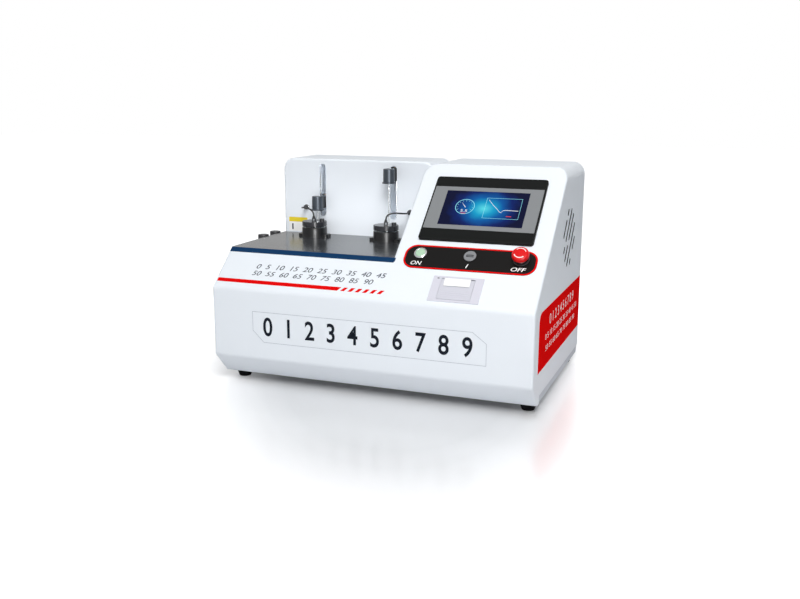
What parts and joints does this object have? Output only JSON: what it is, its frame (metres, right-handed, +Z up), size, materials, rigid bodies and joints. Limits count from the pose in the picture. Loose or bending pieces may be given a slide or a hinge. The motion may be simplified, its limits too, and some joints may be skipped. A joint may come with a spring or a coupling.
{
  "type": "crystallization point tester",
  "caption": "Bench-top crystallization point tester with two cooled sample stations, lifting stirrers, temperature probes, a sloped touch panel and a slip printer.",
  "frame": {"origin": "centre of the bounding box at the feet's lowest plane, measured without the probe leads and plugs", "axes": "+X to the right seen from the front, +Y from the front to the back, +Z up"},
  "size_m": [0.5958, 0.3896, 0.3783],
  "materials": {
    "white_paint": "satin powder coat",
    "panel_grey": "satin powder coat",
    "deck_grey": "semi-gloss coat",
    "trim_blue": "satin",
    "rubber": "moulded",
    "screw_steel": "turned",
    "bezel_black": "fine grain",
    "film_grey": "printed film",
    "dark_plastic": "fine grain",
    "label_black": "printed film",
    "bright_metal": "polished",
    "lit_cap": "lit",
    "stop_red": "moulded",
    "white_plastic": "moulded",
    "printer_lilac": "fine grain",
    "roller_rubber": "ground",
    "paper": "smooth",
    "mechanism_steel": "sheet",
    "collar_black": "turned",
    "lid_black": "turned",
    "tube_glass": "clear",
    "probe_steel": "drawn",
    "head_grey": "satin",
    "arm_dark": "satin",
    "nut_brass": "turned",
    "motor_black": "satin",
    "lead_black": "extruded",
    "block_aluminium": "milled",
    "foam": "foam",
    "module_ceramic": "fired",
    "supply_metal": "folded sheet",
    "board_green": "solder mask",
    "vinyl_red": "printed vinyl"
  },
  "bodies": {
    "root": {"base_plate": "panel_grey", "case_screws": "screw_steel", "cold_wells": "block_aluminium", "control_board": "board_green", "control_overlay": "label_black", "deck_front_trim": "trim_blue", "deck_plate": "deck_grey", "estop_body": "dark_plastic", "fan_frame": "dark_plastic", "feet": "rubber", "filler_necks": "dark_plastic", "guide_rods": "screw_steel", "heat_sinks": "block_aluminium", "hmi_bezel": "bezel_black", "hmi_body": "dark_plastic", "hmi_screen": "film_grey", "lead_plugs": "dark_plastic", "lead_sockets": "bright_metal", "lift_cabinet_cover": "white_paint", "lift_motors": "motor_black", "lift_stands": "mechanism_steel", "main_housing": "white_paint", "mains_inlet": "dark_plastic", "peltier_modules": "module_ceramic", "power_button_body": "bright_metal", "power_supply": "supply_metal", "printer_frame": "printer_lilac", "printer_hinge_pin": "screw_steel", "printer_mechanism": "mechanism_steel", "probe_lead_left": "lead_black", "probe_lead_right": "lead_black", "probes": "probe_steel", "rear_panels": "panel_grey", "sample_tubes": "tube_glass", "usb_socket": "dark_plastic", "vinyl_labels": "vinyl_red", "well_collars": "collar_black", "well_insulation": "foam", "well_lids": "lid_black"},
    "lift_left": {"stir_head_left": "head_grey", "stir_rod_left": "probe_steel", "lift_carriage_left": "arm_dark", "lift_nut_left": "nut_brass"},
    "lift_right": {"stir_head_right": "head_grey", "stir_rod_right": "probe_steel", "lift_carriage_right": "arm_dark", "lift_nut_right": "nut_brass"},
    "screw_left": {"lift_screw_left": "screw_steel"},
    "screw_right": {"lift_screw_right": "screw_steel"},
    "power_button": {"power_button_cap": "lit_cap"},
    "stop_plunger": {"estop_plunger": "white_plastic"},
    "stop_head": {"estop_head": "stop_red"},
    "printer_door": {"printer_door": "printer_lilac", "paper_strip": "paper"},
    "platen": {"platen_roller": "roller_rubber"},
    "roll": {"paper_roll": "paper"},
    "fan": {"fan_rotor": "dark_plastic"},
    "cap_front": {"filler_cap_front": "dark_plastic"},
    "cap_rear": {"filler_cap_rear": "dark_plastic"},
    "fuse_drawer": {"fuse_drawer": "dark_plastic"}
  },
  "joints": [
    {"name": "lift_left", "type": "slide", "parent": "root", "child": "lift_left", "axis": [0, 0, 1], "range_m": [-0.0105, 0.0585]},
    {"name": "lift_right", "type": "slide", "parent": "root", "child": "lift_right", "axis": [0, 0, 1], "range_m": [-0.0675, 0.0015]},
    {"name": "screw_left", "type": "hinge", "parent": "root", "child": "screw_left", "pos_m": [-0.19107, 0.10643, 0.253], "axis": [0, 0, 1], "range_deg": [-2633.1, 473.1]},
    {"name": "screw_right", "type": "hinge", "parent": "root", "child": "screw_right", "pos_m": [-0.04297, 0.10643, 0.253], "axis": [0, 0, 1], "range_deg": [-68.1, 3038.1]},
    {"name": "power_press", "type": "slide", "parent": "root", "child": "power_button", "axis": [0, 0.6621, -0.7494], "range_m": [0, 0.0025], "stiffness_N_per_m": 400, "springref_m": -0.001},
    {"name": "stop_press", "type": "slide", "parent": "root", "child": "stop_plunger", "axis": [0, 0.6621, -0.7494], "range_m": [0, 0.004]},
    {"name": "stop_twist", "type": "hinge", "parent": "stop_plunger", "child": "stop_head", "pos_m": [0.25512, -0.12378, 0.24779], "axis": [0, 0.6621, -0.7494], "range_deg": [0, 45]},
    {"name": "printer_door_hinge", "type": "hinge", "parent": "root", "child": "printer_door", "pos_m": [0.16162, -0.18234, 0.18071], "axis": [1, 0, 0], "range_deg": [0, 85]},
    {"name": "platen_spin", "type": "hinge", "parent": "printer_door", "child": "platen", "pos_m": [0.16162, -0.15399, 0.20042], "axis": [1, 0, 0], "continuous": true},
    {"name": "roll_spin", "type": "hinge", "parent": "root", "child": "roll", "pos_m": [0.16162, -0.15424, 0.17685], "axis": [1, 0, 0], "continuous": true},
    {"name": "fan_spin", "type": "hinge", "parent": "root", "child": "fan", "pos_m": [0.28413, 0.05992, 0.2551], "axis": [1, 0, 0], "continuous": true},
    {"name": "cap_front_lift", "type": "slide", "parent": "root", "child": "cap_front", "axis": [0, 0, 1], "range_m": [0, 0.02]},
    {"name": "cap_rear_lift", "type": "slide", "parent": "root", "child": "cap_rear", "axis": [0, 0, 1], "range_m": [0, 0.02]},
    {"name": "fuse_drawer_pull", "type": "slide", "parent": "root", "child": "fuse_drawer", "axis": [0, 1, 0], "range_m": [0, 0.014]}
  ],
  "couplings": [
    {"joint": "screw_left", "follows": "lift_left", "rad_per_m": -785.4},
    {"joint": "screw_right", "follows": "lift_right", "rad_per_m": -785.4}
  ]
}
